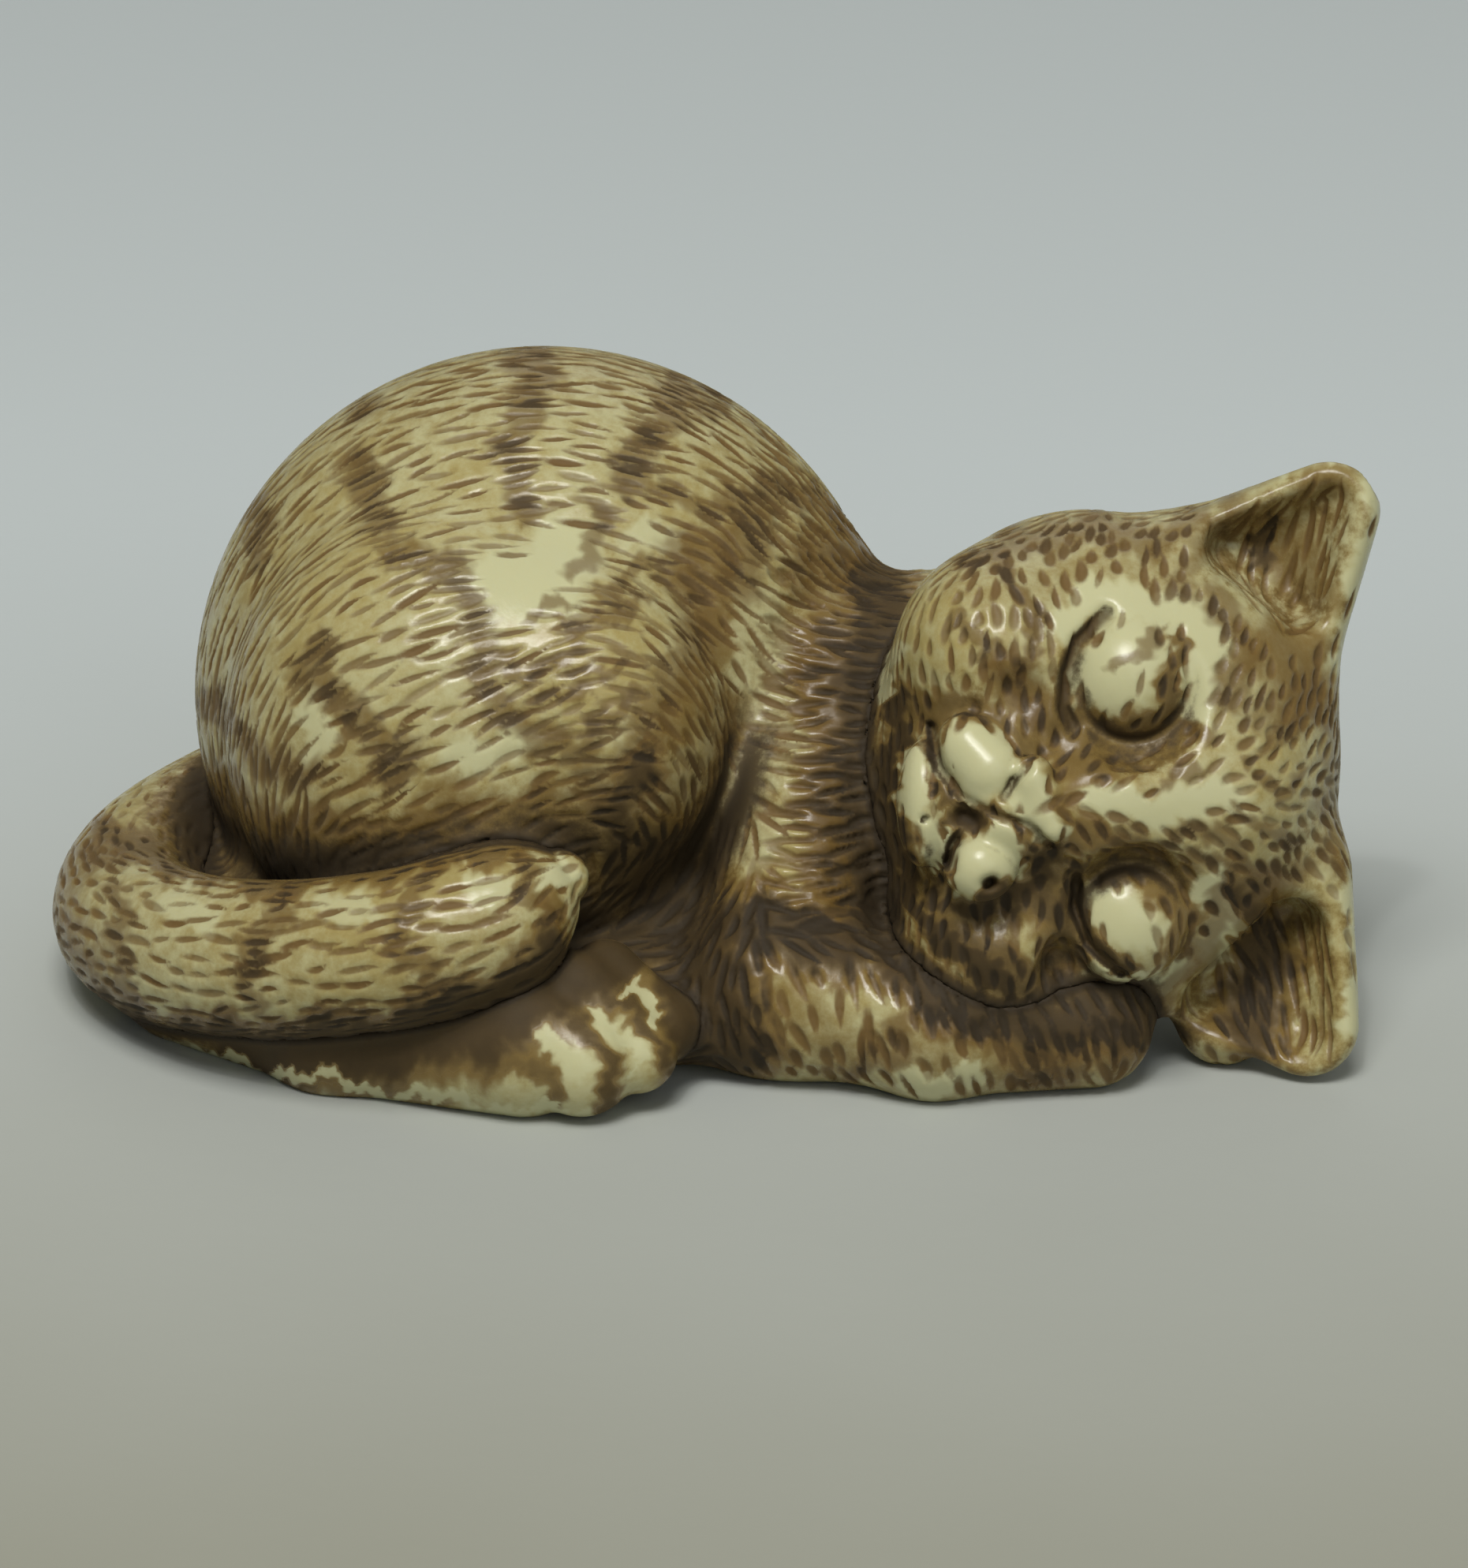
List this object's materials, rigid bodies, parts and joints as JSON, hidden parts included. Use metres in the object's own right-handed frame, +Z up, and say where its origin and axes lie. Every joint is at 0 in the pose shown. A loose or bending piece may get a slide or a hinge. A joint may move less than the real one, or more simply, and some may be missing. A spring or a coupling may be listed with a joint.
{
  "type": "netsuke",
  "caption": "Small carved-style ornament of a tabby cat curled up asleep with its cheek on its forepaw and its tail laid round over its hind foot.",
  "frame": {"origin": "middle of the bounding box, on the flat underside that the cat rests on", "axes": "+X toward the crown of the cat's head, -Y toward the side where the face looks out, +Z up"},
  "size_m": [0.0472, 0.0296, 0.0221],
  "materials": {
    "ivory_resin": "polished cream with brown stain rubbed into the carving"
  },
  "bodies": {
    "root": {"sleeping_cat": "ivory_resin"}
  },
  "joints": []
}
